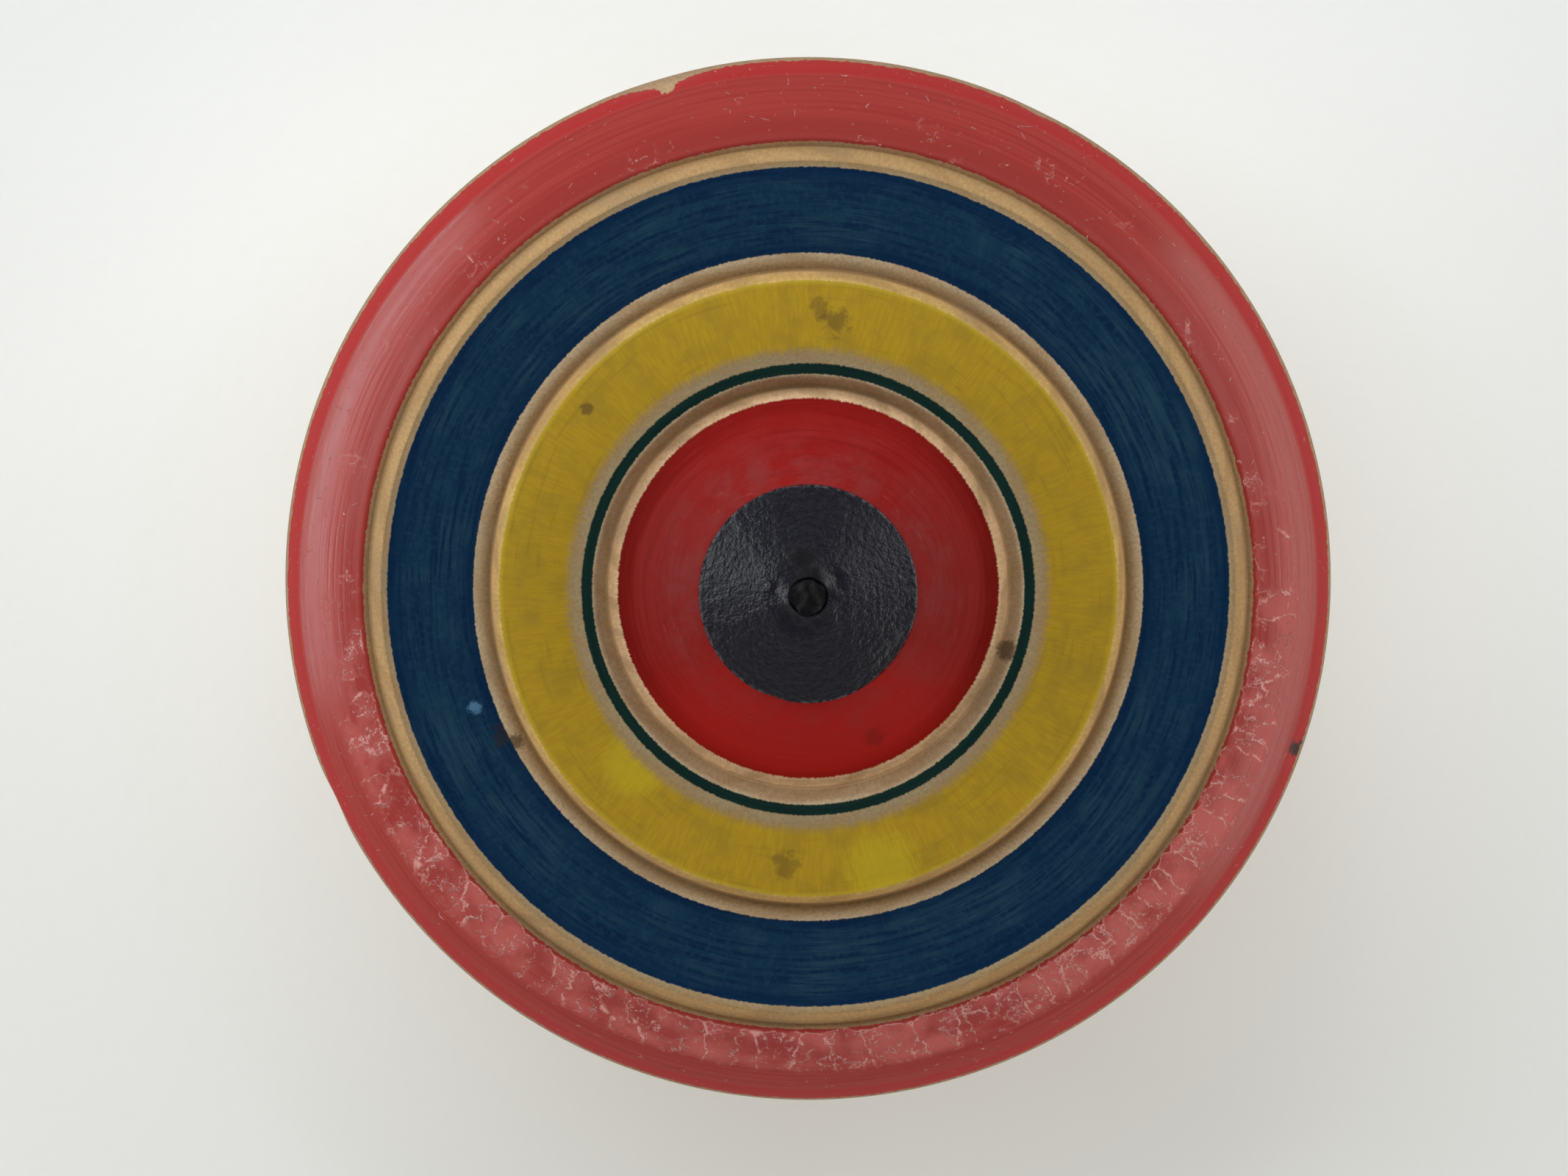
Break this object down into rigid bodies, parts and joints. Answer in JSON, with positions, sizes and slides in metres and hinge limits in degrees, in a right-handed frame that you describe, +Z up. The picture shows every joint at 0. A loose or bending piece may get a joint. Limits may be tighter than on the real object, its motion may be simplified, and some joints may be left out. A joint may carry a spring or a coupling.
{
  "type": "wooden spinning top",
  "caption": "Turned wooden throwing top with painted bands, a conical axle head to start the cord round, and an iron point to spin on.",
  "frame": {"origin": "the point of the lower pin that touches the floor when the top stands upright", "axes": "+Z up along the spin axis, from the iron point to the black head; X and Y are any two level directions, because every piece is turned about +Z"},
  "size_m": [0.076, 0.076, 0.0489],
  "materials": {
    "painted_body": "hardwood turned on the end grain; the upper side is painted in satin red, indigo, yellow and dark green bands with bare scribed grooves between them, and the underside is bare",
    "black_axle": "turned hardwood, its head painted gloss black, its foot bare",
    "dark_iron": "iron under black paint, satin",
    "worn_iron": "bare iron, ground and worn bright at the point"
  },
  "bodies": {
    "root": {"body": "painted_body", "axle": "black_axle", "head_pin": "dark_iron", "tip_pin": "worn_iron"}
  },
  "joints": []
}
